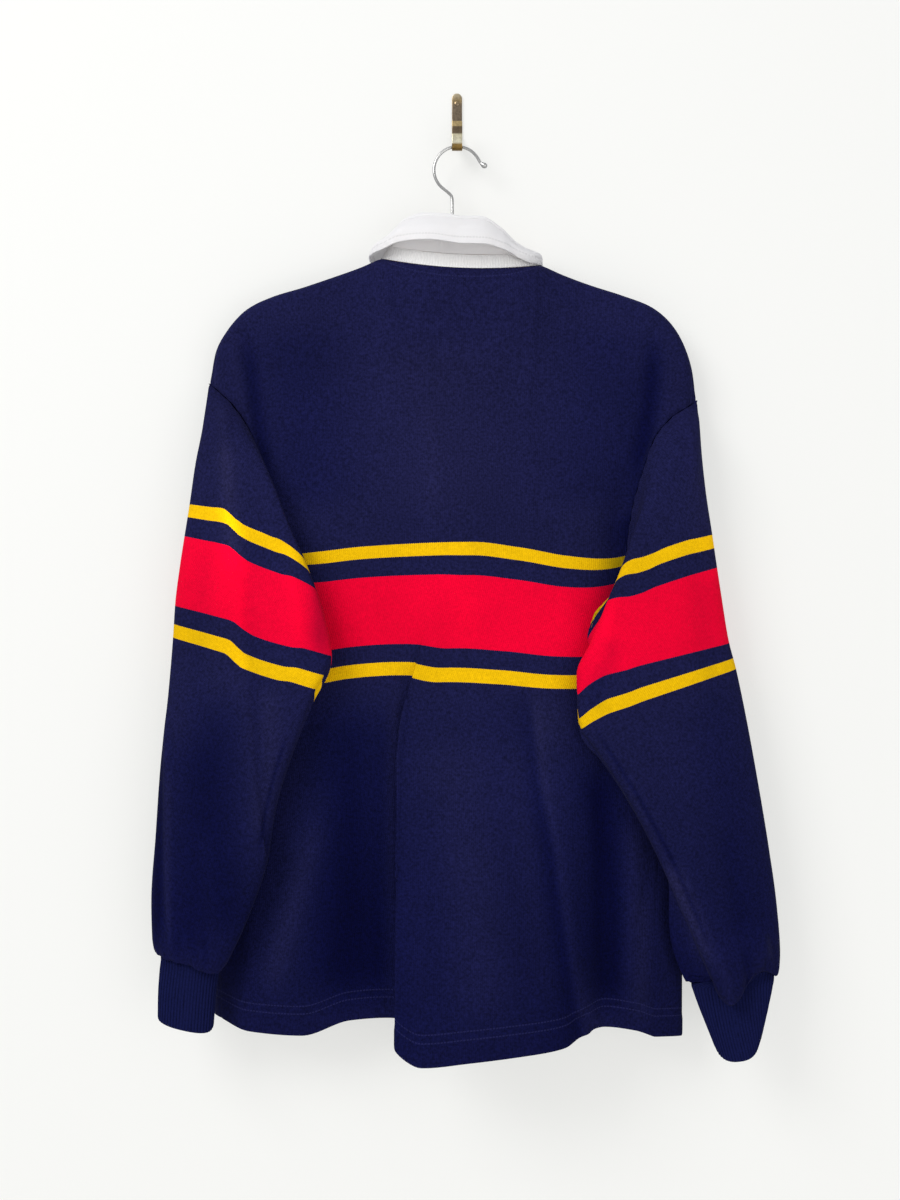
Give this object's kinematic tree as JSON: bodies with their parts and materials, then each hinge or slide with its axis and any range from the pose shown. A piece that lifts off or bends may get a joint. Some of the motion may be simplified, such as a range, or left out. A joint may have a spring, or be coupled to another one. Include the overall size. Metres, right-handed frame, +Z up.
{
  "type": "striped rugby shirt on a wooden hanger and brass wall hook",
  "caption": "Long-sleeved rugby shirt with chest and sleeve stripes, a turned-over collar, buttoned placket and ribbed cuffs, hanging back outwards by its hanger from a wall hook.",
  "frame": {"origin": "the point on the wall where the hook is nailed, in the middle of the hook's back face", "axes": "+Z up, +Y into the wall, +X to the right as the shirt's back is seen"},
  "size_m": [0.5993, 0.12, 0.9281],
  "materials": {
    "jersey": "navy cotton jersey with red and yellow stripes",
    "rib": "navy rib knit",
    "white_rib": "white ribbed tape",
    "twill": "white cotton twill",
    "button_rubber": "matt white",
    "wood": "clear satin varnish",
    "steel_wire": "bright drawn wire",
    "brass": "dulled brass"
  },
  "bodies": {
    "root": {"back_panel": "jersey", "front_panel": "jersey", "sleeve_left": "jersey", "cuff_left": "rib", "sleeve_right": "jersey", "cuff_right": "rib", "neckband": "white_rib", "collar": "twill", "placket_over": "twill", "placket_under": "twill", "button_1": "button_rubber", "button_2": "button_rubber", "button_3": "button_rubber", "hanger_body": "wood", "hanger_hook": "steel_wire", "wall_hook": "brass", "wall_hook_nail": "brass"}
  },
  "joints": []
}
